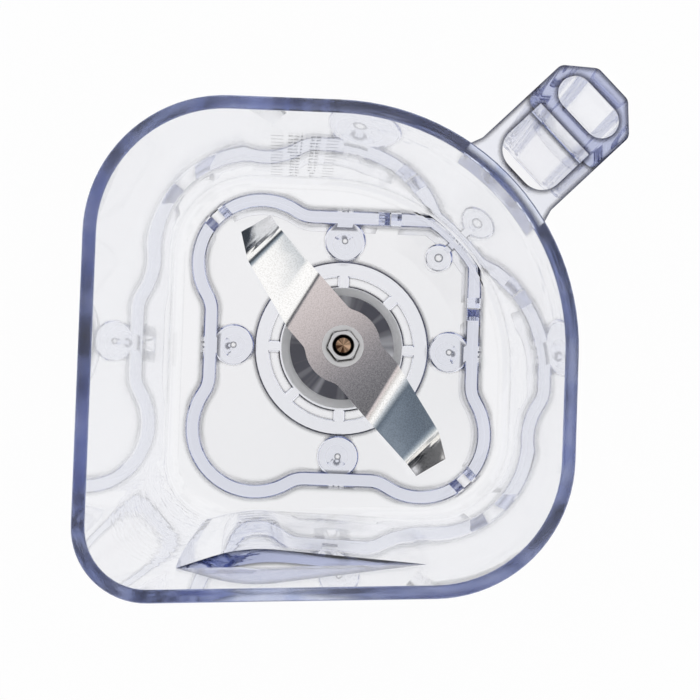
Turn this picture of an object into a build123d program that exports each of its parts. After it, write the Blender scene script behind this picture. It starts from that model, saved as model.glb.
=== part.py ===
from build123d import *
from math import cos, pi, radians, sin, sqrt, tan
import os

# Jar body, clear polycarbonate. Z is the drive axis, Z = 0 is the plane that the base skirt stands on,
# the handle is on the +X +Y corner and the spout on the -X -Y corner.
WALL = 4.0
FLOOR_T = 4.0
SKIRT_H = 36.0
JAR_DEPTH = 178.0
FLOOR_BACK = 61.5
FLOOR_FRONT = 62.0
RIM_BACK = 62.8
RIM_FRONT = 79.0
FRONT_SPLAY = 2.8
FLOOR_R_HANDLE = 68.5
FLOOR_R_SIDE = 29.0
FLOOR_R_SPOUT = 22.0
RIM_R_HANDLE = 70.0
RIM_R_SIDE = 38.5
RIM_R_SPOUT = 18.5
FLOOR_ROUND = 4.0
HEEL_ROUND = 6.0
ROUND_STEPS = 3
RIM_CHAMFER = 0.4
WALL_STEPS = 4

# Ledge across the front wall: it turns the flow back down to the blade.
LEDGE_H = 130.0
LEDGE_RIGHT_X = 26.0
LEDGE_LEFT_X = -32.0
LEDGE_END_X = -53.0
LEDGE_DEPTH = 6.5
LEDGE_FOOT_DEPTH = 3.6
LEDGE_CORNER_R = 50.0

# Handle on the corner: two side arms over a web, and a hollow upright grip.
HANDLE_DROP = 1.5
HANDLE_W = 30.0
ARM_T = 4.4
ARM_H = 26.0
WEB_T = 4.0
ROOT_FLARE = 2.0
FINGER_GAP = 22.0
GRIP_DEPTH = 20.0
GRIP_L = 125.0
GRIP_CHAMFER_ALONG = 7.6
GRIP_CHAMFER_ACROSS = 8.5
GRIP_CORE_L = 22.0
GRIP_CORE_W = 10.6
GRIP_END_T = 4.0
GRIP_END_R = 4.0
GRIP_EDGE_R = 3.0
ROOT_R = 3.0
POCKET_WALL = 2.0
POCKET_R = 7.0

# Scalloped skirt, bosses and hub under the floor.
SKIRT_WALL = 4.2
SKIRT_ROOT = 1.2
SKIRT_ROOT_STEPS = 2
SKIRT_MID = 50.2
LOBE_C = 30.4
LOBE_R = 25.2
LOBE_BLEND = 9.0
SKIRT_CORNER = 60.0
SKIRT_CORNER_R = 57.0
FLOOR_SKIN = 1.0
NOTCH_W = 9.6
NOTCH_FLAT = 3.4
NOTCH_TOP = 6.0
KEYWAY_W = 8.5
KEYWAY_FLAT = 0.5
KEYWAY_AT = 16.6
BOSS_PITCH = 39.6
BOSS_D = 14.0
BOSS_CORE_D = 8.6
BOSS_CORE_TIP_D = 2.4
BOSS_ROOT = 0.5
BOSS_L = 24.0
RIB_T = 2.4
PIN_BOSS_AT = 49.0
PIN_BOSS_D = 9.0
PIN_BOSS_CORE_D = 4.4
PIN_BOSS_TIP_D = 3.2
PIN_BOSS_L = 16.0
HUB_R = 31.4
HUB_L = 13.0
POCKET_R1 = 22.6
POCKET_R2 = 26.8
POCKET_RIB = 3.0
POCKET_EDGE = 0.5
POCKET_ROOF = 2.0
POCKETS = 8

# Bearings of the common 8 x 22 x 7 size.
SHAFT_R = 4.0
BRG_R = 11.0
BRG_W = 7.0
BALL_D = 3.969
BALLS = 7
CAGE_T = 1.3
CAGE_RIM = 0.45
BALL_FACETS = 8
BRG_SPACING = 8.0
SPACER_T = 1.5
SNAP_T = 1.0
SNAP_BITE = 0.7
SNAP_LIP = 1.4
SNAP_OPEN = 50.0

# Bearing housing and what clamps it.
HOUSING_WALL = 2.5
FLANGE_R = 18.9
FLANGE_EDGE = 2.5
CONE_TOP_R = 7.6
CONE_H = 4.0
CROWN_T = 3.0
SEAL_H = 5.0
SEAL_CASE_T = 1.4
BARREL_TAIL = 2.5
GASKET_T = 1.5
GASKET_R = 22.0
NUT_WASHER_T = 1.2
NUT_WASHER_R = 21.0
RING_NUT_T = 6.0
RING_NUT_AF = 37.0

# Spindle, blade and its fixings.
SEAL_R = 5.2
COLLAR_R = 6.6
COLLAR_H = 6.5
STUD_R = 3.0
STUD_CHAMFER = 0.4
SEAT_R = 4.0
SEAT_FLATS = 6.4
SEAT_SHORT = 0.2
BLADE_T = 2.0
BLADE_TURN = 128.4
BLADE_HUB_R = 13.6
BLADE_HUB_BLEND = 5.0
BLADE_ROOT_OUT = 25.0
BLADE_ROOT_IN = 16.7
BLADE_ROOT_LEAD = 12.1
BLADE_ROOT_TRAIL = 8.7
ROOT_BEND_L = 8.0
TIP_BEND_L = 6.0
BEND_STEPS = 5
BLADE_BEND_OUT = 47.5
BLADE_BEND_IN = 45.1
BLADE_BEND_LEAD = 9.3
BLADE_BEND_TRAIL = 6.7
BLADE_TIP_OUT = 52.9
BLADE_TIP_LEAD_OUT = 54.2
BLADE_TIP_LEAD = 5.3
BLADE_TIP_TRAIL = 6.7
WING_RISE = 4.5
TIP_RISE = 3.4
EDGE_BEVEL = 3.0
EDGE_T = 0.5
WASHER_R = 7.5
WASHER_T = 1.5
NUT_AF = 10.0
NUT_H = 5.0
NUT_CHAMFER = 0.6
NUT_SINK = 0.8
NUT_TURN = 9.5
STUD_PROUD = 0.2

# Drive coupling, a splined socket that opens downward.
COUPLING_R = 12.0
COUPLING_GAP = 2.3
SOCKET_R = 6.5
SOCKET_DEPTH = 7.0
SPLINE_R = 1.0
SPLINES = 4
COUPLING_CROWN = 4.2

# Clearances.
PRESS = 0.02
RUN = 0.05
FREE = 0.4
HOLE_FREE = 0.15

# Levels and radii that follow from the sizes above.
FLOOR_TOP = SKIRT_H + FLOOR_T
RIM_Z = FLOOR_TOP + JAR_DEPTH
HUB_Z = SKIRT_H - HUB_L
RING_NUT_TOP = HUB_Z - NUT_WASHER_T
BARREL_R = BRG_R + HOUSING_WALL
FLANGE_Z = FLOOR_TOP + GASKET_T
CROWN_Z = FLANGE_Z + FLANGE_EDGE + CONE_H
SEAL_TOP = CROWN_Z - CROWN_T
UPPER_TOP = SEAL_TOP - SEAL_H
LOWER_TOP = UPPER_TOP - BRG_W - BRG_SPACING
LOWER_END = LOWER_TOP - BRG_W
BARREL_END = LOWER_END - SNAP_T - BARREL_TAIL
COLLAR_Z = CROWN_Z + FREE
BLADE_Z = COLLAR_Z + COLLAR_H
WASHER_Z = BLADE_Z + BLADE_T
NUT_Z = WASHER_Z + WASHER_T
STUD_END = NUT_Z + NUT_H + STUD_PROUD
COUPLING_TOP = BARREL_END - COUPLING_GAP
SOCKET_TOP = COUPLING_TOP - COUPLING_CROWN
COUPLING_Z = SOCKET_TOP - SOCKET_DEPTH
PITCH_R = (SHAFT_R + BRG_R) / 2
BALL_R = BALL_D / 2
HANDLE_TOP = RIM_Z - HANDLE_DROP
WEB_TOP = HANDLE_TOP - ARM_H + WEB_T
RIM_DIAGONAL = RIM_BACK * sqrt(2) - RIM_R_HANDLE * (sqrt(2) - 1) + WALL
GRIP_FACE = RIM_DIAGONAL + FINGER_GAP
GRIP_BACK = GRIP_FACE + GRIP_DEPTH


def disc(radius, z0, z1):
    return Pos(0, 0, z0) * extrude(Circle(radius), z1 - z0)


def ring(outer, inner, z0, z1):
    return disc(outer, z0, z1) - disc(inner, z0, z1)


def round_corner(face, corner, radius):
    """The face with the corner nearest to a point rounded."""
    return fillet(face.vertices().sort_by_distance(Vector(*corner))[0], radius)


def jar_outline(back, front, r_handle, r_side, r_spout):
    """Plan of the jar at one level: square at the handle, splayed along the front."""
    slope = tan(radians(FRONT_SPLAY))
    handle = (back, back)
    left = (-front, back)
    spout = (-front, -front - front * slope)
    right = (back, -front + back * slope)
    face = make_face(Polyline(handle, left, spout, right, close=True))
    face = round_corner(face, handle, r_handle)
    face = round_corner(face, left, r_side)
    face = round_corner(face, spout, r_spout)
    return round_corner(face, right, r_side)


def jar_section(z, extra):
    """Plan of the tapered walls at a height, grown by extra on every side."""
    share = (z - FLOOR_TOP) / JAR_DEPTH
    sizes = [low + (high - low) * share + extra
             for low, high in ((FLOOR_BACK, RIM_BACK), (FLOOR_FRONT, RIM_FRONT), (FLOOR_R_HANDLE, RIM_R_HANDLE),
                               (FLOOR_R_SIDE, RIM_R_SIDE), (FLOOR_R_SPOUT, RIM_R_SPOUT))]
    return Pos(0, 0, z) * jar_outline(*sizes).face()


def jar_form(extra, z0, bottom_round, rim_step):
    """Solid inside the tapered walls: rounded at its lower edge, straight up to a chamfer at the rim."""
    turns = [pi / 2 * i / ROUND_STEPS for i in range(ROUND_STEPS + 1)]
    levels = [(z0 + bottom_round * (1 - cos(a)), extra - bottom_round * (1 - sin(a))) for a in turns]
    start = z0 + bottom_round
    climb = RIM_Z - RIM_CHAMFER - start
    levels += [(start + climb * i / WALL_STEPS, extra) for i in range(1, WALL_STEPS + 1)]
    levels.append((RIM_Z, extra + rim_step))
    return loft([jar_section(*level) for level in levels], ruled=True)


def ledge_plan(front, depth, back_off):
    """Plan of the ledge's column: a wedge that deepens towards the spout, with a rounded end."""
    slope = tan(radians(FRONT_SPLAY))
    far = -2 * RIM_FRONT
    inner = (LEDGE_LEFT_X + back_off, -front + LEDGE_LEFT_X * slope + depth - back_off)
    right = (LEDGE_RIGHT_X, -front + LEDGE_RIGHT_X * slope - back_off)
    end = (LEDGE_END_X + back_off, -front + LEDGE_END_X * slope - back_off)
    outside = [(LEDGE_END_X + back_off, far), (LEDGE_RIGHT_X, far)]
    face = make_face(Polyline(right, inner, end, *outside, close=True))
    return round_corner(face, inner, LEDGE_CORNER_R)


def ledge_column(back_off, z0, z1):
    front_high = FLOOR_FRONT + (RIM_FRONT - FLOOR_FRONT) * LEDGE_H / JAR_DEPTH
    low = ledge_plan(FLOOR_FRONT, LEDGE_FOOT_DEPTH, back_off)
    high = ledge_plan(front_high, LEDGE_DEPTH, back_off)
    return loft([Pos(0, 0, z0) * low.face(), Pos(0, 0, z1) * high.face()], ruled=True)


def grip():
    """Upright grip, chamfered on the outside and cored from the top."""
    half = HANDLE_W / 2
    side_end = GRIP_BACK - GRIP_CHAMFER_ALONG
    flat = half - GRIP_CHAMFER_ACROSS
    plan = make_face(Polyline((GRIP_FACE, -half), (side_end, -half), (GRIP_BACK, -flat), (GRIP_BACK, flat),
                              (side_end, half), (GRIP_FACE, half), close=True))
    plan = fillet(plan.vertices(), GRIP_EDGE_R)
    bar = Pos(0, 0, HANDLE_TOP - GRIP_L) * extrude(plan, GRIP_L)
    return fillet(bar.edges().group_by(Axis.Z)[0], GRIP_END_R)


def handle():
    """Arms, web and grip, drawn along +X and turned to the corner."""
    half = HANDLE_W / 2
    flare = half + ROOT_FLARE
    root = RIM_DIAGONAL - WALL
    neck = RIM_DIAGONAL + ROOT_FLARE
    tuck = GRIP_FACE + GRIP_EDGE_R + ARM_T
    plan = make_face(Polyline((root, -flare), (neck, -half), (tuck, -half), (tuck, half), (neck, half),
                              (root, flare), close=True))
    plan = round_corner(plan, (neck, -half), ROOT_R)
    plan = round_corner(plan, (neck, half), ROOT_R)
    body = grip() + Pos(0, 0, HANDLE_TOP - ARM_H) * extrude(plan, ARM_H)

    pocket_x = RIM_DIAGONAL + POCKET_WALL
    pocket_half = half - ARM_T
    pocket = make_face(Polyline((pocket_x, -pocket_half), (GRIP_FACE, -pocket_half), (GRIP_FACE, pocket_half),
                                (pocket_x, pocket_half), close=True))
    pocket = round_corner(pocket, (pocket_x, -pocket_half), POCKET_R)
    pocket = round_corner(pocket, (pocket_x, pocket_half), POCKET_R)
    body -= Pos(0, 0, WEB_TOP) * extrude(pocket, ARM_H)

    core = Pos(GRIP_FACE + ARM_T + GRIP_CORE_W / 2, 0) * Rot(0, 0, 90) * SlotOverall(GRIP_CORE_L, GRIP_CORE_W)
    body -= Pos(0, 0, HANDLE_TOP - GRIP_L + GRIP_END_T) * extrude(core, GRIP_L)
    return Rot(0, 0, 45) * body


def skirt_plan(inset):
    """Three round lobes and one wide round corner, joined by straight sides."""
    mid = SKIRT_MID - inset
    lobe = LOBE_R - inset
    centre = (SKIRT_CORNER - SKIRT_CORNER_R) / sqrt(2)
    plan = Rectangle(2 * mid, 2 * LOBE_C) + Rectangle(2 * LOBE_C, 2 * mid)
    plan += Pos(mid / 2, mid / 2) * Rectangle(mid, mid) & Pos(centre, centre) * Circle(SKIRT_CORNER_R - inset)
    centres = [(-LOBE_C, LOBE_C), (-LOBE_C, -LOBE_C), (LOBE_C, -LOBE_C)]
    plan += [Pos(*c) * Circle(lobe) for c in centres]
    joints = [v for v in plan.vertices()
              if any(abs(Vector(v.X - c[0], v.Y - c[1]).length - lobe) < 1e-4 for c in centres)]
    return fillet(joints, LOBE_BLEND + inset)


def skirt_root(inset, side):
    """Solid inside the wall's outer or inner face over the rounding where the skirt runs into the floor."""
    turns = [pi / 2 * i / SKIRT_ROOT_STEPS for i in range(SKIRT_ROOT_STEPS + 1)]
    levels = [(SKIRT_H - SKIRT_ROOT * (1 - sin(a)), inset + side * SKIRT_ROOT * (1 - cos(a))) for a in turns]
    return loft([Pos(0, 0, z) * skirt_plan(at).face() for z, at in levels], ruled=True)


def wall_slot(width, flat):
    """Cutter for a slot through a wall: open below, with a roof that falls away on both sides of a flat."""
    top = SKIRT_H - NOTCH_TOP
    side = top - (width - flat) / 2
    half = [(0, 0), (width / 2, 0), (width / 2, side), (flat / 2, top), (0, top)]
    profile = make_face(Polyline(*half, close=True))
    return extrude(Plane.YZ * (profile + mirror(profile, about=Plane.YZ)), 2 * SKIRT_WALL, both=True)


def skirt():
    wall = extrude(skirt_plan(0) - skirt_plan(SKIRT_WALL), SKIRT_H)
    wall += skirt_root(0, -1) - skirt_root(SKIRT_WALL, 1)
    wall += Pos(0, 0, SKIRT_H) * extrude(skirt_plan(0), FLOOR_T - FLOOR_SKIN)
    reach = LOBE_C * sqrt(2) + LOBE_R
    for turn in (135, -45):
        wall -= Rot(0, 0, turn) * Pos(reach, 0) * wall_slot(NOTCH_W, NOTCH_FLAT)
    keyway = wall_slot(KEYWAY_W, KEYWAY_FLAT)
    wall -= Rot(0, 0, 90) * Pos(SKIRT_MID, -KEYWAY_AT) * keyway
    return wall - Pos(SKIRT_MID, KEYWAY_AT) * keyway


def floor_boss(at, boss_d, core_d, tip_d, length, wall_at):
    """Cored post under the floor on +X, tied to the skirt by a rib."""
    post = Pos(at, 0) * disc(boss_d / 2, SKIRT_H - length, SKIRT_H)
    post += Pos(at, 0, SKIRT_H - BOSS_ROOT / 2) * Cone(boss_d / 2, boss_d / 2 + BOSS_ROOT, BOSS_ROOT)
    run = wall_at - at
    rib = Pos(at + run / 2, 0, SKIRT_H - length / 2) * Box(run, RIB_T, length)
    depth = length - POCKET_ROOF
    core = Pos(at, 0, SKIRT_H - length + depth / 2) * Cone(core_d / 2, tip_d / 2, depth)
    return post + rib - core


def hub():
    """Boss that the bearing housing is clamped to, cored by a ring of pockets."""
    body = disc(HUB_R, HUB_Z, SKIRT_H)
    body += Pos(0, 0, SKIRT_H - BOSS_ROOT / 2) * Cone(HUB_R, HUB_R + BOSS_ROOT, BOSS_ROOT)
    top = SKIRT_H - POCKET_ROOF
    pockets = ring(POCKET_R2, POCKET_R1, HUB_Z, top)
    rib = Pos(0, 0, (HUB_Z + top) / 2) * Box(2 * HUB_R, POCKET_RIB, top - HUB_Z)
    pockets -= [Rot(0, 0, 360 * i / POCKETS) * rib for i in range(POCKETS // 2)]
    return body - chamfer(pockets.edges().group_by(Axis.Z)[-1], POCKET_EDGE)


def jar_body():
    cavity = jar_form(0, FLOOR_TOP, FLOOR_ROUND, RIM_CHAMFER) - ledge_column(0, FLOOR_TOP, FLOOR_TOP + LEDGE_H)
    shell = jar_form(WALL, SKIRT_H, HEEL_ROUND, -RIM_CHAMFER)
    shell -= ledge_column(WALL, SKIRT_H, FLOOR_TOP + LEDGE_H - WALL)
    body = shell + handle() + skirt() + hub()
    for turn in (0, 90, 180, 270):
        post = floor_boss(BOSS_PITCH, BOSS_D, BOSS_CORE_D, BOSS_CORE_TIP_D, BOSS_L, SKIRT_MID - SKIRT_WALL / 2)
        body += Rot(0, 0, turn) * post
    body += Rot(0, 0, 45) * floor_boss(PIN_BOSS_AT, PIN_BOSS_D, PIN_BOSS_CORE_D, PIN_BOSS_TIP_D, PIN_BOSS_L,
                                       SKIRT_CORNER - SKIRT_WALL / 2)
    body -= cavity
    return body - disc(BARREL_R + HOLE_FREE, HUB_Z, FLOOR_TOP)


def bearing_housing():
    body = disc(FLANGE_R, FLANGE_Z, FLANGE_Z + FLANGE_EDGE)
    body += Pos(0, 0, CROWN_Z - CONE_H / 2) * Cone(FLANGE_R, CONE_TOP_R, CONE_H)
    body += disc(BARREL_R, BARREL_END, FLANGE_Z)
    body -= disc(BRG_R + PRESS, BARREL_END, SEAL_TOP)
    body -= disc(SEAL_R + FREE, SEAL_TOP, CROWN_Z)
    return body - ring(BRG_R + SNAP_BITE, BRG_R, LOWER_END - SNAP_T, LOWER_END)


def shaft_seal():
    body = ring(BRG_R, SEAL_R + RUN, SEAL_TOP - SEAL_CASE_T, SEAL_TOP)
    return body + ring(BRG_R, BRG_R - SEAL_CASE_T, UPPER_TOP, SEAL_TOP)


def outer_race(top):
    return ring(BRG_R, PITCH_R + BALL_R + RUN, top - BRG_W, top)


def inner_race(top):
    return ring(PITCH_R - BALL_R - RUN, SHAFT_R + PRESS, top - BRG_W, top)


def ball_places(top):
    return [Rot(0, 0, 360 * i / BALLS) * Pos(PITCH_R, 0, top - BRG_W / 2) for i in range(BALLS)]


def ball():
    """Ball as three crossing prisms, a solid of flat facets inside the true sphere."""
    flat = BALL_R * cos(pi / BALL_FACETS)
    prism = extrude(RegularPolygon(flat, BALL_FACETS, major_radius=False), BALL_R, both=True)
    return prism & (Rot(90, 0, 0) * prism) & (Rot(0, 90, 0) * prism)


def ball_set(top):
    return Compound(children=[place * ball() for place in ball_places(top)])


def ball_cage(top):
    half = BALL_R + CAGE_RIM
    pocket = 2 * (BALL_R + RUN)
    mid = top - BRG_W / 2
    body = ring(PITCH_R + CAGE_T / 2, PITCH_R - CAGE_T / 2, mid - half, mid + half)
    return body - [place * Box(4 * CAGE_T, pocket, pocket) for place in ball_places(top)]


def snap_ring(outer, inner):
    """Open ring, one thickness tall, under the lower bearing."""
    z0 = LOWER_END - SNAP_T
    reach = 2 * outer
    half = radians(SNAP_OPEN / 2)
    gap = make_face(Polyline((0, 0), (reach, -reach * tan(half)), (reach, reach * tan(half)), close=True))
    return ring(outer, inner, z0, LOWER_END) - Pos(0, 0, z0) * extrude(gap, SNAP_T)


def hex_nut(across_flats, hole, z0, z1, chamfer_by):
    prism = Pos(0, 0, z0) * extrude(RegularPolygon(across_flats / 2, 6, major_radius=False), z1 - z0)
    dome = disc(across_flats / sqrt(3), z0, z1)
    dome = chamfer(dome.edges().group_by(Axis.Z)[-1], chamfer_by)
    return (prism & dome) - disc(hole, z0, z1)


def blade_nut():
    top = NUT_Z + NUT_H
    nut = hex_nut(NUT_AF, STUD_R + PRESS, NUT_Z, top, NUT_CHAMFER)
    nut -= Pos(0, 0, top - NUT_SINK / 2) * Cone(STUD_R, STUD_R + NUT_SINK, NUT_SINK)
    return Rot(0, 0, NUT_TURN) * nut


def seat_plan(extra):
    """Round seat with two flats that the blade is keyed on."""
    return Circle(SEAT_R + extra) & Rectangle(3 * SEAT_R, SEAT_FLATS + 2 * extra)


def spindle():
    body = disc(STUD_R, SOCKET_TOP, COUPLING_TOP)
    body += disc(SHAFT_R, COUPLING_TOP, UPPER_TOP)
    body += disc(SEAL_R, UPPER_TOP, COLLAR_Z)
    body += disc(COLLAR_R, COLLAR_Z, BLADE_Z)
    body += Rot(0, 0, BLADE_TURN) * Pos(0, 0, BLADE_Z) * extrude(seat_plan(0), BLADE_T - SEAT_SHORT)
    stud = disc(STUD_R, BLADE_Z, STUD_END)
    body += chamfer(stud.edges().group_by(Axis.Z)[-1], STUD_CHAMFER)
    return body - ring(SHAFT_R, SHAFT_R - SNAP_BITE, LOWER_END - SNAP_T, LOWER_END)


def between(first, second, share):
    """Point part of the way from one point to another."""
    return tuple(a + (b - a) * share for a, b in zip(first, second))


def blade_section(lead, trail, z):
    """Upright cut through a wing: square at the trailing side, ground thin from below at the leading side."""
    back = Vector(trail[0] - lead[0], trail[1] - lead[1], 0).normalized() * EDGE_BEVEL
    points = [(trail[0], trail[1], z), (lead[0] + back.X, lead[1] + back.Y, z), (*lead, z + BLADE_T - EDGE_T),
              (*lead, z + BLADE_T), (*trail, z + BLADE_T)]
    return make_face(Polyline(*points, close=True)).face()


def bend_rise(run, length):
    """Rise over a run for a slope of one that comes in evenly over the bend's length."""
    eased = min(max(run, 0), length)
    return eased ** 2 / (2 * length) + max(run - length, 0)


def wing(root, bend, tip):
    """Wing between three lines, each a leading and a trailing point, with round bends at the first two."""
    middles = [between(lead, trail, 0.5) for lead, trail in (root, bend, tip)]
    inner, outer = [sqrt((b[0] - a[0]) ** 2 + (b[1] - a[1]) ** 2) for a, b in zip(middles, middles[1:])]
    slope = WING_RISE / inner
    more = TIP_RISE / outer - slope
    turn = inner - TIP_BEND_L / 2
    runs = [ROOT_BEND_L * i / BEND_STEPS for i in range(BEND_STEPS + 1)]
    runs += [turn + TIP_BEND_L * i / BEND_STEPS for i in range(BEND_STEPS + 1)]
    sections = []
    for run in runs + [inner + outer]:
        ends, share = ((root, bend), run / inner) if run <= inner else ((bend, tip), (run - inner) / outer)
        lead, trail = [between(ends[0][i], ends[1][i], share) for i in (0, 1)]
        rise = slope * bend_rise(run, ROOT_BEND_L) + more * bend_rise(run - turn, TIP_BEND_L)
        sections.append(blade_section(lead, trail, BLADE_Z + rise))
    return loft(sections, ruled=True)


def blade():
    """Keyed hub with two wings, each bent up at a skew root line and again at the tip."""
    root = ((BLADE_ROOT_IN, BLADE_ROOT_LEAD), (BLADE_ROOT_OUT, -BLADE_ROOT_TRAIL))
    bend = ((BLADE_BEND_IN, BLADE_BEND_LEAD), (BLADE_BEND_OUT, -BLADE_BEND_TRAIL))
    tip = ((BLADE_TIP_LEAD_OUT, BLADE_TIP_LEAD), (BLADE_TIP_OUT, -BLADE_TIP_TRAIL))
    far = [(-x, -y) for x, y in root]
    plan = make_face(Polyline(root[0], far[1], far[0], root[1], close=True)) + Circle(BLADE_HUB_R)
    meets = [v for v in plan.vertices() if abs(Vector(v.X, v.Y).length - BLADE_HUB_R) < 1e-4]
    plan = fillet(meets, BLADE_HUB_BLEND)
    side = wing(root, bend, tip)
    body = Pos(0, 0, BLADE_Z) * extrude(plan, BLADE_T) + [side, Rot(0, 0, 180) * side]
    body -= Pos(0, 0, BLADE_Z) * extrude(seat_plan(HOLE_FREE), BLADE_T)
    return Rot(0, 0, BLADE_TURN) * body


def drive_coupling():
    socket = Circle(SOCKET_R) + [loc * Circle(SPLINE_R) for loc in PolarLocations(SOCKET_R, SPLINES)]
    body = disc(COUPLING_R, COUPLING_Z, COUPLING_TOP)
    body -= Pos(0, 0, COUPLING_Z) * extrude(socket, SOCKET_DEPTH)
    return body - disc(STUD_R + PRESS, SOCKET_TOP, COUPLING_TOP)


nodes = {
    "jar_body": jar_body(),
    "flange_gasket": ring(GASKET_R, BARREL_R + HOLE_FREE, FLOOR_TOP, FLANGE_Z),
    "bearing_housing": bearing_housing(),
    "housing_washer": ring(NUT_WASHER_R, BARREL_R + HOLE_FREE, RING_NUT_TOP, HUB_Z),
    "retaining_nut": hex_nut(RING_NUT_AF, BARREL_R + PRESS, RING_NUT_TOP - RING_NUT_T, RING_NUT_TOP, NUT_CHAMFER),
    "shaft_seal": shaft_seal(),
    "upper_outer_race": outer_race(UPPER_TOP),
    "lower_outer_race": outer_race(LOWER_TOP),
    "outer_spacer": ring(BRG_R, BRG_R - SPACER_T, LOWER_TOP, UPPER_TOP - BRG_W),
    "bore_snap_ring": snap_ring(BRG_R + SNAP_BITE - PRESS, BRG_R - SNAP_LIP),
    "spindle": spindle(),
    "blade": blade(),
    "blade_washer": ring(WASHER_R, STUD_R + HOLE_FREE, WASHER_Z, NUT_Z),
    "blade_nut": blade_nut(),
    "upper_inner_race": inner_race(UPPER_TOP),
    "lower_inner_race": inner_race(LOWER_TOP),
    "inner_spacer": ring(SHAFT_R + SPACER_T, SHAFT_R + PRESS, LOWER_TOP, UPPER_TOP - BRG_W),
    "shaft_snap_ring": snap_ring(SHAFT_R + SNAP_LIP, SHAFT_R - SNAP_BITE + PRESS),
    "drive_coupling": drive_coupling(),
    "upper_balls": ball_set(UPPER_TOP),
    "lower_balls": ball_set(LOWER_TOP),
    "upper_cage": ball_cage(UPPER_TOP),
    "lower_cage": ball_cage(LOWER_TOP),
}

os.makedirs("parts", exist_ok=True)
for name, solid in nodes.items():
    export_step(solid, f"parts/{name}.step")
    print(name, len(solid.solids()), round(solid.volume, 1))
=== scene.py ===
import math

import bmesh
import bpy
from mathutils import Matrix, Vector
from mathutils.bvhtree import BVHTree


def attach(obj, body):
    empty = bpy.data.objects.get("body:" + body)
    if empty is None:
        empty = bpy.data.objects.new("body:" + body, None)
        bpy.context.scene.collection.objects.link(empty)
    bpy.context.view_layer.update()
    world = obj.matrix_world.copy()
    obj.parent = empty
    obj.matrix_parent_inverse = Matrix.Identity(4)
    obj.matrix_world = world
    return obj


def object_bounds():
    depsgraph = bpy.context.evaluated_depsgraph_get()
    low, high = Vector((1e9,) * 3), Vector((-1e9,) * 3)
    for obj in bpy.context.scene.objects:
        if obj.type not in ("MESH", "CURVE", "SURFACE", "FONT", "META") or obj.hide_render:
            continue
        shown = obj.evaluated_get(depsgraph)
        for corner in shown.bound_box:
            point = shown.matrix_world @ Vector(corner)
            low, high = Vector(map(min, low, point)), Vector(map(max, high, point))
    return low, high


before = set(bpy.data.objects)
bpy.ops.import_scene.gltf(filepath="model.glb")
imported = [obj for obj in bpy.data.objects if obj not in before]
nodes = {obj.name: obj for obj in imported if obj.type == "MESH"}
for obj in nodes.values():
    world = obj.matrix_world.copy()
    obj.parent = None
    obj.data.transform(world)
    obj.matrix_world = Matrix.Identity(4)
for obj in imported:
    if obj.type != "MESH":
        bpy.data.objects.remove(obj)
cad_low, cad_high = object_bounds()

# Jar body: one injection moulding in clear polycarbonate, with walls, floor, skirt and handle in one shot.
# The resin has a faint violet-blue cast that shows only where the eye looks along the wall.
MM_IN_M = 1000
SEAM_GAP = 0.000005
FLAT_WEIGHT = 90


def linear(hex_colour):
    """Linear RGBA of an sRGB hex colour."""
    channels = [int(hex_colour[i:i + 2], 16) / 255 for i in (1, 3, 5)]
    return [c / 12.92 if c <= 0.04045 else ((c + 0.055) / 1.055) ** 2.4 for c in channels] + [1.0]


def add_node(tree, kind, settings=None, links=None):
    """Adds a node, sets its properties and socket values, and links sockets from other nodes into it."""
    node = tree.nodes.new(kind)
    for key, value in (settings or {}).items():
        if isinstance(key, int) or key in node.inputs:
            node.inputs[key].default_value = value
        else:
            setattr(node, key, value)
    for key, (source, output) in (links or {}).items():
        tree.links.new(source.outputs[output], node.inputs[key])
    return node


def new_material(name):
    """An empty node material with its output node."""
    material = bpy.data.materials.new(name)
    material.use_nodes = True
    material.node_tree.nodes.clear()
    return material, material.node_tree, add_node(material.node_tree, "ShaderNodeOutputMaterial")


def dress(node_name, material, smooth_angle=30):
    """Gives a CAD node its finish, and smooth shading across its faces up to an edge angle in degrees."""
    piece = nodes[node_name]
    piece.data.materials.clear()
    piece.data.materials.append(material)
    piece.data.polygons.foreach_set("use_smooth", [True] * len(piece.data.polygons))
    joined = piece.modifiers.new("joined_faces", "WELD")
    joined.merge_threshold = SEAM_GAP
    creases = piece.modifiers.new("creases", "EDGE_SPLIT")
    creases.split_angle = math.radians(smooth_angle)
    creases.use_edge_sharp = False
    flats = piece.modifiers.new("flat_faces", "WEIGHTED_NORMAL")
    flats.weight = FLAT_WEIGHT


# Moulded polycarbonate: glossy and clear, with a slow swell from the melt's flow that bends the view a bit.
# The radii on its edges and inner corners are finer than the mesh and turn light aside, so occlusion draws a
# dark line along them: CORNERS_MM pairs a distance from the drive axis with the line's reach there.
FLOW_SWELL_MM = 40.0
CORNERS_MM = ((27.0, 1.2), (29.0, 2.0), (33.5, 2.0), (34.5, 0.8), (43.5, 0.8), (45.5, 2.6), (60.0, 2.6),
              (62.0, 1.8))
CORNERS_OUT_MM = 100.0
LARGEST_CORNER_MM = 4.0
PIN_BOSS_AT_MM = 49.0
PIN_BOSS_OUT_MM = 7.0
PIN_BOSS_FADE_MM = 1.0
PIN_BOSS_SHARE = 0.3
LINE_DARK, LINE_GONE = 0.72, 0.9
LIP_Z = 0.2171
LIP_FADE = 0.0003
PAINTED_RIM_MOTTLE_MM = 9.0
polycarbonate, tree, output = new_material("moulded_clear_polycarbonate")
coordinates = add_node(tree, "ShaderNodeTexCoord")
swell = add_node(tree, "ShaderNodeTexNoise", {"Scale": MM_IN_M / FLOW_SWELL_MM, "Detail": 1.0},
                 {"Vector": (coordinates, "Object")})
flow = add_node(tree, "ShaderNodeBump", {"Strength": 0.02, "Distance": 0.001}, {"Height": (swell, "Fac")})
spread = add_node(tree, "ShaderNodeVectorMath", {"operation": "MULTIPLY", 1: (1, 1, 0)},
                  {0: (coordinates, "Object")})
radius = add_node(tree, "ShaderNodeVectorMath", {"operation": "LENGTH"}, {0: (spread, "Vector")})
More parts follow.
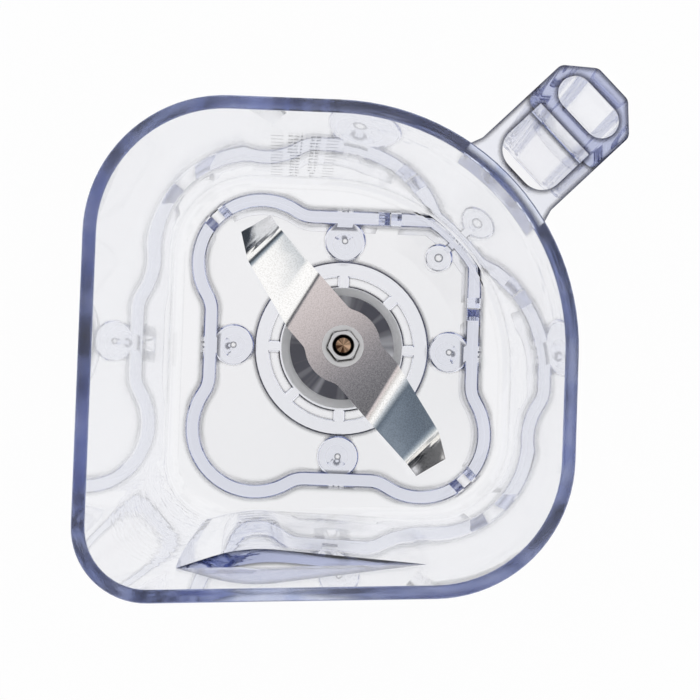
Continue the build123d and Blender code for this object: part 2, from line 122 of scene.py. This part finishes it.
out_by = add_node(tree, "ShaderNodeMapRange", {"From Max": CORNERS_OUT_MM / MM_IN_M},
                  {"Value": (radius, "Value")})
corner_sizes = add_node(tree, "ShaderNodeValToRGB", None, {"Fac": (out_by, "Result")})
stops = corner_sizes.color_ramp.elements
for index, (out_mm, corner_mm) in enumerate(CORNERS_MM):
    stop = stops[0] if index == 0 else stops.new(out_mm / CORNERS_OUT_MM)
    stop.position = out_mm / CORNERS_OUT_MM
    stop.color = [corner_mm / LARGEST_CORNER_MM] * 3 + [1.0]
stops[-1].color = stops[-2].color
corner_size = add_node(tree, "ShaderNodeMath", {"operation": "MULTIPLY", 1: LARGEST_CORNER_MM / MM_IN_M},
                       {0: (corner_sizes, "Color")})
pin_place = (PIN_BOSS_AT_MM * math.cos(math.pi / 4) / MM_IN_M,
             PIN_BOSS_AT_MM * math.sin(math.pi / 4) / MM_IN_M, 0)
from_pin = add_node(tree, "ShaderNodeVectorMath", {"operation": "DISTANCE", 1: pin_place},
                    {0: (spread, "Vector")})
off_pin = add_node(tree, "ShaderNodeMapRange",
                   {"From Min": PIN_BOSS_OUT_MM / MM_IN_M,
                    "From Max": (PIN_BOSS_OUT_MM + PIN_BOSS_FADE_MM) / MM_IN_M, "To Min": PIN_BOSS_SHARE},
                   {"Value": (from_pin, "Value")})
corner_there = add_node(tree, "ShaderNodeMath", {"operation": "MULTIPLY"},
                        {0: (corner_size, 0), 1: (off_pin, "Result")})
corners = add_node(tree, "ShaderNodeAmbientOcclusion", {"inside": True, "only_local": True, "samples": 4},
                   {"Distance": (corner_there, 0)})
turned_in = add_node(tree, "ShaderNodeMapRange", {"From Min": LINE_DARK, "From Max": LINE_GONE},
                     {"Value": (corners, "AO")})
height = add_node(tree, "ShaderNodeSeparateXYZ", None, {"Vector": (coordinates, "Object")})
lip = add_node(tree, "ShaderNodeMapRange", {"From Min": LIP_Z - LIP_FADE, "From Max": LIP_Z + LIP_FADE},
               {"Value": (height, "Z")})
plain = add_node(tree, "ShaderNodeMath", {"operation": "MAXIMUM"},
                 {0: (turned_in, "Result"), 1: (lip, "Result")})
# Painted: the rim's top gets a mottled blue in its colour, standing in for the resin's cast seen down the
# wall and for the light streaks in it.
painted_rim_mottle = add_node(tree, "ShaderNodeTexNoise", {"Scale": MM_IN_M / PAINTED_RIM_MOTTLE_MM, "Detail": 2.0},
                  {"Vector": (coordinates, "Object")})
painted_rim_blue = add_node(tree, "ShaderNodeValToRGB", None, {"Fac": (painted_rim_mottle, "Fac")})
painted_rim_blue.color_ramp.elements[0].position = 0.38
painted_rim_blue.color_ramp.elements[0].color = linear("#A6B4DC")
painted_rim_blue.color_ramp.elements[1].position = 0.66
painted_rim_blue.color_ramp.elements[1].color = linear("#E6EBF8")
resin = add_node(tree, "ShaderNodeMix", {"data_type": "RGBA", 6: linear("#FDFDFE")},
                 {"Factor": (lip, "Result"), 7: (painted_rim_blue, "Color")})
shade = add_node(tree, "ShaderNodeMix", {"data_type": "RGBA", 6: linear("#060A1A")},
                 {"Factor": (plain, 0), 7: (resin, 2)})
polish = add_node(tree, "ShaderNodeMapRange", {"To Min": 0.02, "To Max": 0.15}, {"Value": (lip, "Result")})
clear = add_node(tree, "ShaderNodeBsdfPrincipled", {"IOR": 1.585, "Transmission Weight": 1.0},
                 {"Base Color": (shade, 2), "Roughness": (polish, "Result"), "Normal": (flow, "Normal")})
cast = add_node(tree, "ShaderNodeVolumeAbsorption", {"Color": linear("#6A86CC"), "Density": 6.0})
tree.links.new(clear.outputs["BSDF"], output.inputs["Surface"])
tree.links.new(cast.outputs["Volume"], output.inputs["Volume"])
dress("jar_body", polycarbonate, smooth_angle=15)

# Graduated scale: ounces and centilitres, pad-printed in dark grey ink on the outside of the back wall.
# The ink bites into the plastic, so the film lies just under the wall's outer skin, matt and a little patchy.
SCALE_FOOT_Z = 0.0470
SCALE_STEP = 0.0084
SCALE_ROWS = 14
OUNCES_A_ROW = 4
CENTILITRES_A_ROW = 12
TICK_L = 0.0040
TICK_W = 0.0010
DIGIT_H = 0.0030
DIGIT_SHARE_OF_FONT = 0.7
DIGIT_BOLD = 0.00010
DIGIT_NARROW = 0.85
INK_FILM = 0.00004
INK_BITE = 0.00006
INK_PATCH_MM = 1.2
BEHIND_WALL_Y = 0.2
OUNCE_TICK_X, OUNCE_X, CENTILITRE_X, CENTILITRE_TICK_X = -0.0077, -0.0134, -0.0198, -0.0260
wall_mesh = nodes["jar_body"].data
wall = BVHTree.FromPolygons([v.co for v in wall_mesh.vertices], [p.vertices for p in wall_mesh.polygons])
ink = bmesh.new()
for row in range(SCALE_ROWS):
    level = SCALE_FOOT_Z + row * SCALE_STEP
    for x in (OUNCE_TICK_X, CENTILITRE_TICK_X):
        tick = Matrix.Translation((x, INK_FILM / 2, level)) @ Matrix.Diagonal((TICK_L, INK_FILM, TICK_W, 1))
        bmesh.ops.create_cube(ink, size=1.0, matrix=tick)
    for x, amount in ((OUNCE_X, OUNCES_A_ROW * (row + 1)), (CENTILITRE_X, CENTILITRES_A_ROW * (row + 1))):
        digits = bpy.data.curves.new("digits", "FONT")
        digits.body = str(amount)
        digits.size = DIGIT_H / DIGIT_SHARE_OF_FONT
        digits.align_x = "CENTER"
        digits.align_y = "CENTER"
        digits.extrude = INK_FILM / 2
        digits.offset = DIGIT_BOLD
        digits.resolution_u = 3
        stencil = bpy.data.objects.new("stencil", digits)
        figures = bpy.data.meshes.new_from_object(stencil)
        first = len(ink.verts)
        ink.from_mesh(figures)
        ink.verts.ensure_lookup_table()
        for vertex in ink.verts[first:]:
            across, up, out = vertex.co
            vertex.co = (x - across * DIGIT_NARROW, INK_FILM / 2 + out, level + up)
        bpy.data.meshes.remove(figures)
        bpy.data.objects.remove(stencil)
        bpy.data.curves.remove(digits)
for vertex in ink.verts:
    face, _, _, _ = wall.ray_cast(Vector((vertex.co.x, BEHIND_WALL_Y, vertex.co.z)), Vector((0, -1, 0)))
    vertex.co.y += face.y - INK_BITE
scale_mesh = bpy.data.meshes.new("graduated_scale")
ink.to_mesh(scale_mesh)
ink.free()
graduated_scale = bpy.data.objects.new("graduated_scale", scale_mesh)
bpy.context.scene.collection.objects.link(graduated_scale)
printed, tree, output = new_material("pad_printed_ink")
coordinates = add_node(tree, "ShaderNodeTexCoord")
patches = add_node(tree, "ShaderNodeTexNoise", {"Scale": MM_IN_M / INK_PATCH_MM, "Detail": 2.0},
                   {"Vector": (coordinates, "Object")})
cover = add_node(tree, "ShaderNodeValToRGB", None, {"Fac": (patches, "Fac")})
cover.color_ramp.elements[0].position = 0.35
cover.color_ramp.elements[0].color = linear("#14171D")
cover.color_ramp.elements[1].position = 0.70
cover.color_ramp.elements[1].color = linear("#343840")
film = add_node(tree, "ShaderNodeBsdfPrincipled", {"Roughness": 0.55, "IOR": 1.5},
                {"Base Color": (cover, "Color")})
tree.links.new(film.outputs["BSDF"], output.inputs["Surface"])
scale_mesh.materials.append(printed)
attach(graduated_scale, "jar")

# Flange gasket: a flat ring of white food-grade silicone between the housing's flange and the jar's floor.
# Silicone is matt and slightly waxy, with a fine grain from its mould.
SILICONE_GRAIN_MM = 0.4
silicone, tree, output = new_material("white_silicone")
coordinates = add_node(tree, "ShaderNodeTexCoord")
grain = add_node(tree, "ShaderNodeTexNoise", {"Scale": MM_IN_M / SILICONE_GRAIN_MM, "Detail": 2.0},
                 {"Vector": (coordinates, "Object")})
skin = add_node(tree, "ShaderNodeBump", {"Strength": 0.15, "Distance": 0.0002}, {"Height": (grain, "Fac")})
wax = add_node(tree, "ShaderNodeBsdfPrincipled",
               {"Base Color": linear("#FCFCFB"), "Roughness": 0.45, "IOR": 1.41},
               {"Normal": (skin, "Normal")})
tree.links.new(wax.outputs["BSDF"], output.inputs["Surface"])
dress("flange_gasket", silicone)

# Bearing housing, with its washer, ring nut, spacers and coupling: stainless bar turned on a lathe.
# The tool's rings are drawn 2.2 mm apart, much coarser than its feed, so that they show, and the highlight
# spreads over them. Its bright and dark fans are also painted into the colour by a noise round the axis:
# painted highlight and shade.
RING_PITCH_MM = 2.2
WAVE_RADIANS = 20
PAINTED_FAN_SCALE = 1.6
turned, tree, output = new_material("turned_stainless_steel")
coordinates = add_node(tree, "ShaderNodeTexCoord")
rings = add_node(tree, "ShaderNodeTexWave",
                 {"wave_type": "RINGS", "rings_direction": "Z",
                  "Scale": MM_IN_M * 2 * math.pi / (RING_PITCH_MM * WAVE_RADIANS), "Distortion": 0.4,
                  "Detail": 1.0},
                 {"Vector": (coordinates, "Object")})
groove = add_node(tree, "ShaderNodeBump", {"Strength": 0.12, "Distance": 0.0001}, {"Height": (rings, "Fac")})
around = add_node(tree, "ShaderNodeTangent", {"direction_type": "RADIAL", "axis": "Z"})
spread = add_node(tree, "ShaderNodeVectorMath", {"operation": "MULTIPLY", 1: (1, 1, 0)},
                  {0: (coordinates, "Object")})
heading = add_node(tree, "ShaderNodeVectorMath", {"operation": "NORMALIZE"}, {0: (spread, "Vector")})
painted_fans = add_node(tree, "ShaderNodeTexNoise", {"Scale": PAINTED_FAN_SCALE, "Detail": 3.0, "Roughness": 0.6},
                {"Vector": (heading, "Vector")})
# Painted highlight and shade: bright and dark fans round the axis in the steel's colour.
painted_fan_tone = add_node(tree, "ShaderNodeValToRGB", None, {"Fac": (painted_fans, "Fac")})
painted_fan_tone.color_ramp.elements[0].position = 0.45
painted_fan_tone.color_ramp.elements[0].color = linear("#5A5A60")
painted_fan_tone.color_ramp.elements[1].position = 0.75
painted_fan_tone.color_ramp.elements[1].color = linear("#D0D0D2")
steel = add_node(tree, "ShaderNodeBsdfPrincipled", {"Metallic": 1.0, "Roughness": 0.3, "Anisotropic": 0.85},
                 {"Base Color": (painted_fan_tone, "Color"), "Normal": (groove, "Normal"),
                  "Tangent": (around, "Tangent")})
tree.links.new(steel.outputs["BSDF"], output.inputs["Surface"])
for name in ("bearing_housing", "housing_washer", "retaining_nut", "outer_spacer", "inner_spacer",
             "drive_coupling"):
    dress(name, turned)

# Blade washer and nut: bright stainless fixings, pressed and cold formed, then barrel polished.
# Painted shade darkens the thread inside the nut, out to just past the stud, the flanks that face sideways,
# and, by occlusion, the crevice where nut and washer meet; only upward faces clear of these stay bright.
THREAD_SHADE_FULL_MM, THREAD_SHADE_END_MM = 3.8, 4.1
BARREL_GRAIN_MM = 0.5
CREVICE_MM = 1.2
bright, tree, output = new_material("barrel_polished_stainless")
coordinates = add_node(tree, "ShaderNodeTexCoord")
spread = add_node(tree, "ShaderNodeVectorMath", {"operation": "MULTIPLY", 1: (1, 1, 0)},
                  {0: (coordinates, "Object")})
radius = add_node(tree, "ShaderNodeVectorMath", {"operation": "LENGTH"}, {0: (spread, "Vector")})
beyond_thread_shade = add_node(tree, "ShaderNodeMapRange",
                 {"From Min": THREAD_SHADE_FULL_MM / MM_IN_M, "From Max": THREAD_SHADE_END_MM / MM_IN_M},
                 {"Value": (radius, "Value")})
grain = add_node(tree, "ShaderNodeTexNoise", {"Scale": MM_IN_M / BARREL_GRAIN_MM, "Detail": 2.0},
                 {"Vector": (coordinates, "Object")})
peened = add_node(tree, "ShaderNodeBump", {"Strength": 0.08, "Distance": 0.0001}, {"Height": (grain, "Fac")})
facing = add_node(tree, "ShaderNodeSeparateXYZ", None, {"Vector": (coordinates, "Normal")})
upward_lit = add_node(tree, "ShaderNodeMapRange", {"From Min": 0.5, "From Max": 0.9}, {"Value": (facing, "Z")})
crevice_occlusion = add_node(tree, "ShaderNodeAmbientOcclusion", {"samples": 8, "Distance": CREVICE_MM / MM_IN_M})
clear_of_crevice_shade = add_node(tree, "ShaderNodeMapRange", {"From Min": 0.70, "From Max": 0.88},
                     {"Value": (crevice_occlusion, "AO")})
unshaded_top = add_node(tree, "ShaderNodeMath", {"operation": "MULTIPLY"},
                 {0: (beyond_thread_shade, "Result"), 1: (upward_lit, "Result")})
painted_light_share = add_node(tree, "ShaderNodeMath", {"operation": "MULTIPLY"}, {0: (unshaded_top, 0), 1: (clear_of_crevice_shade, "Result")})
# Painted shade: dark tone in the thread, on the sideways flanks and in the crevice at the foot.
tone_and_painted_shade = add_node(tree, "ShaderNodeMix", {"data_type": "RGBA", 6: linear("#3A3736"), 7: linear("#EAEAEA")},
                {"Factor": (painted_light_share, 0)})
polished = add_node(tree, "ShaderNodeBsdfPrincipled", {"Metallic": 1.0, "Roughness": 0.32},
                    {"Base Color": (tone_and_painted_shade, 2), "Normal": (peened, "Normal")})
tree.links.new(polished.outputs["BSDF"], output.inputs["Surface"])
for name in ("blade_washer", "blade_nut"):
    dress(name, bright)

# Spindle: ground steel, carried by the two bearings, with a copper-brown flash that shows on its end inside
# the nut. The bright and dark fan of the facing cut there is painted into the colour as a highlight, and the
# thread round the end is painted dark as shade.
THREAD_FROM_MM, THREAD_FULL_MM = 2.5, 2.75
STAIN_MM = 3.0
PAINTED_FACING_FAN_SCALE = 1.4
coppered, tree, output = new_material("coppered_spindle_steel")
coordinates = add_node(tree, "ShaderNodeTexCoord")
spread = add_node(tree, "ShaderNodeVectorMath", {"operation": "MULTIPLY", 1: (1, 1, 0)},
                  {0: (coordinates, "Object")})
heading = add_node(tree, "ShaderNodeVectorMath", {"operation": "NORMALIZE"}, {0: (spread, "Vector")})
painted_facing_fan = add_node(tree, "ShaderNodeTexNoise", {"Scale": PAINTED_FACING_FAN_SCALE, "Detail": 2.0},
                      {"Vector": (heading, "Vector")})
radius = add_node(tree, "ShaderNodeVectorMath", {"operation": "LENGTH"}, {0: (spread, "Vector")})
thread_shade = add_node(tree, "ShaderNodeMapRange",
                  {"From Min": THREAD_FROM_MM / MM_IN_M, "From Max": THREAD_FULL_MM / MM_IN_M},
                  {"Value": (radius, "Value")})
# Painted highlight: a bright and dark fan round the axis in the copper colour.
copper_and_painted_fan = add_node(tree, "ShaderNodeValToRGB", None, {"Fac": (painted_facing_fan, "Fac")})
copper_and_painted_fan.color_ramp.elements[0].position = 0.40
copper_and_painted_fan.color_ramp.elements[0].color = linear("#4E3526")
copper_and_painted_fan.color_ramp.elements[1].position = 0.66
copper_and_painted_fan.color_ramp.elements[1].color = linear("#E8C2A0")
# Painted shade: the thread beyond the stud's end is dark.
tone_and_painted_shade = add_node(tree, "ShaderNodeMix", {"data_type": "RGBA", 7: linear("#221E1C")},
                {"Factor": (thread_shade, "Result"), 6: (copper_and_painted_fan, "Color")})
around = add_node(tree, "ShaderNodeTangent", {"direction_type": "RADIAL", "axis": "Z"})
stain = add_node(tree, "ShaderNodeTexNoise", {"Scale": MM_IN_M / STAIN_MM, "Detail": 3.0},
                 {"Vector": (coordinates, "Object")})
handled = add_node(tree, "ShaderNodeMapRange", {"To Min": 0.25, "To Max": 0.4}, {"Value": (stain, "Fac")})
copper = add_node(tree, "ShaderNodeBsdfPrincipled", {"Metallic": 1.0, "Anisotropic": 0.6},
                  {"Base Color": (tone_and_painted_shade, 2), "Roughness": (handled, "Result"), "Tangent": (around, "Tangent")})
tree.links.new(copper.outputs["BSDF"], output.inputs["Surface"])
dress("spindle", coppered)

# Blade: stainless strip, stamped, bent at two lines on each side, tumbled with ceramic chips and clamped on
# the spindle by the nut. Tumbling leaves a satin skin of tiny dents, drawn about 0.5 mm apart, coarser than
# they are, so that they show. The dents also lighten the colour in a fine speckle, a painted glint.
DENT_MM = 0.5
tumbled, tree, output = new_material("tumbled_stainless_strip")
coordinates = add_node(tree, "ShaderNodeTexCoord")
dents = add_node(tree, "ShaderNodeTexNoise", {"Scale": MM_IN_M / DENT_MM, "Detail": 2.0},
                 {"Vector": (coordinates, "Object")})
skin = add_node(tree, "ShaderNodeBump", {"Strength": 0.012, "Distance": 0.0001}, {"Height": (dents, "Fac")})
# Painted glint: the colour lightens and darkens with the dents.
painted_glint = add_node(tree, "ShaderNodeValToRGB", None, {"Fac": (dents, "Fac")})
painted_glint.color_ramp.elements[0].position = 0.36
painted_glint.color_ramp.elements[0].color = linear("#F0EFED")
painted_glint.color_ramp.elements[1].position = 0.56
painted_glint.color_ramp.elements[1].color = linear("#FFFEFD")
satin = add_node(tree, "ShaderNodeMapRange", {"To Min": 0.05, "To Max": 0.10}, {"Value": (dents, "Fac")})
strip = add_node(tree, "ShaderNodeBsdfPrincipled", {"Metallic": 1.0},
                 {"Base Color": (painted_glint, "Color"), "Normal": (skin, "Normal"), "Roughness": (satin, "Result")})
tree.links.new(strip.outputs["BSDF"], output.inputs["Surface"])
dress("blade", tumbled)

# Bearings: two rows of balls between races of hardened chrome steel, a push fit in the housing and on the
# spindle. Grinding and lapping leave them nearly mirror bright.
LAPPING_MM = 0.3
ground, tree, output = new_material("ground_bearing_steel")
coordinates = add_node(tree, "ShaderNodeTexCoord")
lapping = add_node(tree, "ShaderNodeTexNoise", {"Scale": MM_IN_M / LAPPING_MM, "Detail": 2.0},
                   {"Vector": (coordinates, "Object")})
lapped = add_node(tree, "ShaderNodeBump", {"Strength": 0.05, "Distance": 0.0001},
                  {"Height": (lapping, "Fac")})
mirror = add_node(tree, "ShaderNodeBsdfPrincipled",
                  {"Base Color": linear("#C4C4C6"), "Metallic": 1.0, "Roughness": 0.12},
                  {"Normal": (lapped, "Normal")})
tree.links.new(mirror.outputs["BSDF"], output.inputs["Surface"])
for name in ("upper_outer_race", "lower_outer_race", "upper_inner_race", "lower_inner_race", "upper_balls",
             "lower_balls"):
    dress(name, ground)

# Ball cages: rings of moulded nylon that keep the balls apart and go round with them.
# The nylon is cream and slightly waxy, with the grain of a spark-eroded mould.
SPARK_GRAIN_MM = 0.5
nylon, tree, output = new_material("moulded_nylon")
coordinates = add_node(tree, "ShaderNodeTexCoord")
spark = add_node(tree, "ShaderNodeTexNoise", {"Scale": MM_IN_M / SPARK_GRAIN_MM, "Detail": 2.0},
                 {"Vector": (coordinates, "Object")})
tool = add_node(tree, "ShaderNodeBump", {"Strength": 0.1, "Distance": 0.0001}, {"Height": (spark, "Fac")})
cream = add_node(tree, "ShaderNodeBsdfPrincipled",
                 {"Base Color": linear("#D9CFB4"), "Roughness": 0.45, "IOR": 1.53},
                 {"Normal": (tool, "Normal")})
tree.links.new(cream.outputs["BSDF"], output.inputs["Surface"])
for name in ("upper_cage", "lower_cage"):
    dress(name, nylon)

# Shaft seal: a lip seal of black nitrile rubber, pressed into the top of the housing round the spindle.
# The rubber is moulded and has a matt bloom.
BLOOM_MM = 0.6
nitrile, tree, output = new_material("black_nitrile_rubber")
coordinates = add_node(tree, "ShaderNodeTexCoord")
bloom = add_node(tree, "ShaderNodeTexNoise", {"Scale": MM_IN_M / BLOOM_MM, "Detail": 2.0},
                 {"Vector": (coordinates, "Object")})
matt = add_node(tree, "ShaderNodeBump", {"Strength": 0.15, "Distance": 0.0002}, {"Height": (bloom, "Fac")})
black = add_node(tree, "ShaderNodeBsdfPrincipled",
                 {"Base Color": linear("#1D1D1E"), "Roughness": 0.6, "IOR": 1.52},
                 {"Normal": (matt, "Normal")})
tree.links.new(black.outputs["BSDF"], output.inputs["Surface"])
dress("shaft_seal", nitrile)

# Snap rings: stamped spring steel, sprung into a groove in the housing's bore and one on the spindle.
# A black phosphate skin of fine crystals keeps them from rusting.
CRYSTAL_MM = 0.25
phosphate, tree, output = new_material("phosphated_spring_steel")
coordinates = add_node(tree, "ShaderNodeTexCoord")
crystals = add_node(tree, "ShaderNodeTexNoise", {"Scale": MM_IN_M / CRYSTAL_MM, "Detail": 2.0},
                    {"Vector": (coordinates, "Object")})
fine = add_node(tree, "ShaderNodeBump", {"Strength": 0.2, "Distance": 0.0001}, {"Height": (crystals, "Fac")})
dark = add_node(tree, "ShaderNodeBsdfPrincipled",
                {"Base Color": linear("#2B2B2D"), "Metallic": 0.6, "Roughness": 0.5},
                {"Normal": (fine, "Normal")})
tree.links.new(dark.outputs["BSDF"], output.inputs["Surface"])
for name in ("bore_snap_ring", "shaft_snap_ring"):
    dress(name, phosphate)

# Studio floor: a sweep of white paper just under the jar. The lens, the steel and the clear plastic see most
# of it as plain white, and the rest is matt paper that keeps the jar's shadow.
FLOOR_SIZE = 6.0
FLOOR_GAP = 0.0005
WHITE_TO_LENS = 0.95
WHITE_BEYOND = 0.86
floor_mesh = bpy.data.meshes.new("sweep")
half = FLOOR_SIZE / 2
floor_mesh.from_pydata([(-half, -half, 0), (half, -half, 0), (half, half, 0), (-half, half, 0)], [],
                       [(0, 1, 2, 3)])
floor = bpy.data.objects.new("sweep", floor_mesh)
bpy.context.scene.collection.objects.link(floor)
floor.location.z = cad_low.z - FLOOR_GAP
paper, tree, output = new_material("white_paper_sweep")
paths = add_node(tree, "ShaderNodeLightPath")
direct = add_node(tree, "ShaderNodeMath", {"operation": "MULTIPLY", 1: WHITE_TO_LENS},
                  {0: (paths, "Is Camera Ray")})
mirrored = add_node(tree, "ShaderNodeMath", {"operation": "MAXIMUM"},
                    {0: (paths, "Is Glossy Ray"), 1: (paths, "Is Transmission Ray")})
beyond = add_node(tree, "ShaderNodeMath", {"operation": "MULTIPLY", 1: WHITE_BEYOND}, {0: (mirrored, 0)})
share = add_node(tree, "ShaderNodeMath", {"operation": "MAXIMUM"}, {0: (direct, 0), 1: (beyond, 0)})
sheet = add_node(tree, "ShaderNodeBsdfDiffuse", {"Color": linear("#F4F4F4")})
glow = add_node(tree, "ShaderNodeEmission", {"Color": linear("#FFFFFF"), "Strength": 1.0})
mixed = add_node(tree, "ShaderNodeMixShader", None, {"Fac": (share, 0)})
tree.links.new(sheet.outputs[0], mixed.inputs[1])
tree.links.new(glow.outputs[0], mixed.inputs[2])
tree.links.new(mixed.outputs[0], output.inputs["Surface"])
floor_mesh.materials.append(paper)

# Room: white walls, and overhead a row of strip lights and dark cards set square to the blade, which mirrors
# them. STRIPS gives places across the ceiling, 0 to 1, and the colour at each. Matt surfaces see plain white
# instead, and so does the clear plastic between the outer cards.
STRIP_TURN = math.radians(128.4)
STRIP_END_FROM, STRIP_END_TO = 0.35, 0.5
OVERHEAD_FROM, OVERHEAD_TO = 0.45, 0.6
OUTER_CARDS = 0.57
STRIPS = ((0.04, "#1C1E22"), (0.18, "#1C1E22"), (0.195, "#F4F2EE"), (0.22, "#F4F2EE"), (0.235, "#8E9296"),
          (0.25, "#FFFFFF"), (0.28, "#BAC2C8"), (0.32, "#828E9C"), (0.35, "#566270"), (0.38, "#BAC2CA"),
          (0.41, "#FFFFFF"), (0.43, "#FFFFFF"), (0.46, "#D2CECC"), (0.478, "#E3D9DA"), (0.484, "#CFC5C5"),
          (0.490, "#A6A0A3"), (0.496, "#6A6E78"), (0.501, "#48484C"), (0.510, "#323439"), (0.519, "#FFFFFF"),
          (0.644, "#FFFFFF"), (0.668, "#9CA8B4"), (0.70, "#3A424C"), (0.72, "#3A424C"), (0.735, "#FFFFFF"),
          (0.775, "#FFFFFF"), (0.79, "#2C323A"), (0.828, "#3A4048"), (0.848, "#DADDE0"), (0.89, "#E0E1E4"))
world = bpy.data.worlds.new("studio_room")
bpy.context.scene.world = world
world.use_nodes = True
tree = world.node_tree
tree.nodes.clear()
room_output = add_node(tree, "ShaderNodeOutputWorld")
direction = add_node(tree, "ShaderNodeTexCoord")
strips_run = (-math.cos(STRIP_TURN), -math.sin(STRIP_TURN), 0)
sides_run = (math.sin(STRIP_TURN), -math.cos(STRIP_TURN), 0)
along = add_node(tree, "ShaderNodeVectorMath", {"operation": "DOT_PRODUCT", 1: strips_run},
                 {0: (direction, "Generated")})
aside = add_node(tree, "ShaderNodeVectorMath", {"operation": "DOT_PRODUCT", 1: sides_run},
                 {0: (direction, "Generated")})
place = add_node(tree, "ShaderNodeMapRange", {"From Min": -1.0, "From Max": 1.0}, {"Value": (along, "Value")})
strips = add_node(tree, "ShaderNodeValToRGB", None, {"Fac": (place, "Result")})
ramp = strips.color_ramp
ramp.elements[0].position = 0.0
ramp.elements[0].color = linear("#E8E8EA")
ramp.elements[1].position = 1.0
ramp.elements[1].color = linear("#E8E8EA")
for position, colour in STRIPS:
    element = ramp.elements.new(position)
    element.color = linear(colour)
off_side = add_node(tree, "ShaderNodeMath", {"operation": "ABSOLUTE"}, {0: (aside, "Value")})
beside = add_node(tree, "ShaderNodeMapRange",
                  {"interpolation_type": "SMOOTHSTEP", "From Min": STRIP_END_FROM, "From Max": STRIP_END_TO},
                  {"Value": (off_side, 0)})
ceiling = add_node(tree, "ShaderNodeMix", {"data_type": "RGBA"}, {"Factor": (beside, "Result")})
tree.links.new(strips.outputs["Color"], ceiling.inputs["A"])
ceiling.inputs["B"].default_value = linear("#DCDDE0")
height = add_node(tree, "ShaderNodeSeparateXYZ", None, {"Vector": (direction, "Generated")})
raised = add_node(tree, "ShaderNodeMapRange",
                  {"interpolation_type": "SMOOTHSTEP", "From Min": OVERHEAD_FROM, "From Max": OVERHEAD_TO},
                  {"Value": (height, "Z")})
room = add_node(tree, "ShaderNodeMix", {"data_type": "RGBA"}, {"Factor": (raised, "Result")})
room.inputs["A"].default_value = linear("#F2F3F6")
tree.links.new(ceiling.outputs["Result"], room.inputs["B"])
paths = add_node(tree, "ShaderNodeLightPath")
steep = add_node(tree, "ShaderNodeMath", {"operation": "ABSOLUTE"}, {0: (along, "Value")})
between_cards = add_node(tree, "ShaderNodeMath", {"operation": "LESS_THAN", 1: OUTER_CARDS}, {0: (steep, 0)})
through = add_node(tree, "ShaderNodeMath", {"operation": "MULTIPLY"},
                   {0: (paths, "Is Transmission Ray"), 1: (between_cards, 0)})
filled = add_node(tree, "ShaderNodeMath", {"operation": "MAXIMUM"},
                  {0: (paths, "Is Diffuse Ray"), 1: (through, 0)})
soft = add_node(tree, "ShaderNodeMix", {"data_type": "RGBA", 7: linear("#FCFCFE")},
                {"Factor": (filled, 0), 6: (room, "Result")})
seen = add_node(tree, "ShaderNodeMix", {"data_type": "RGBA", 7: linear("#FFFFFF")},
                {"Factor": (paths, "Is Camera Ray"), 6: (soft, 2)})
light = add_node(tree, "ShaderNodeBackground", {"Strength": 1.0}, {"Color": (seen, 2)})
tree.links.new(light.outputs[0], room_output.inputs["Surface"])

# Camera: a long lens nearly straight above the jar, a little towards the pouring side.
# Clear plastic needs many bounces of light, or its thick edges turn black.
LENS_PX = 2674.0
PICTURE_PX = 700.0
SENSOR_MM = 36.0
CAMERA_AT = Vector((-0.0239, -0.0434, 1.016))
AIM_AT = Vector((0.0031, -0.00055, 0.040))
ROLL_DEG = 2.0
BOUNCES = 100
camera_data = bpy.data.cameras.new("camera")
camera_data.sensor_width = SENSOR_MM
camera_data.lens = LENS_PX / PICTURE_PX * SENSOR_MM
camera = bpy.data.objects.new("camera", camera_data)
bpy.context.scene.collection.objects.link(camera)
forward = (AIM_AT - CAMERA_AT).normalized()
up = Vector((-math.sin(math.radians(ROLL_DEG)), math.cos(math.radians(ROLL_DEG)), 0))
right = forward.cross(up).normalized()
up = right.cross(forward)
turn = Matrix((right, up, -forward)).transposed()
camera.matrix_world = Matrix.Translation(CAMERA_AT) @ turn.to_4x4()
scene = bpy.context.scene
scene.camera = camera
scene.view_settings.view_transform = "Standard"
scene.cycles.max_bounces = BOUNCES
scene.cycles.transmission_bounces = BOUNCES
scene.cycles.glossy_bounces = BOUNCES
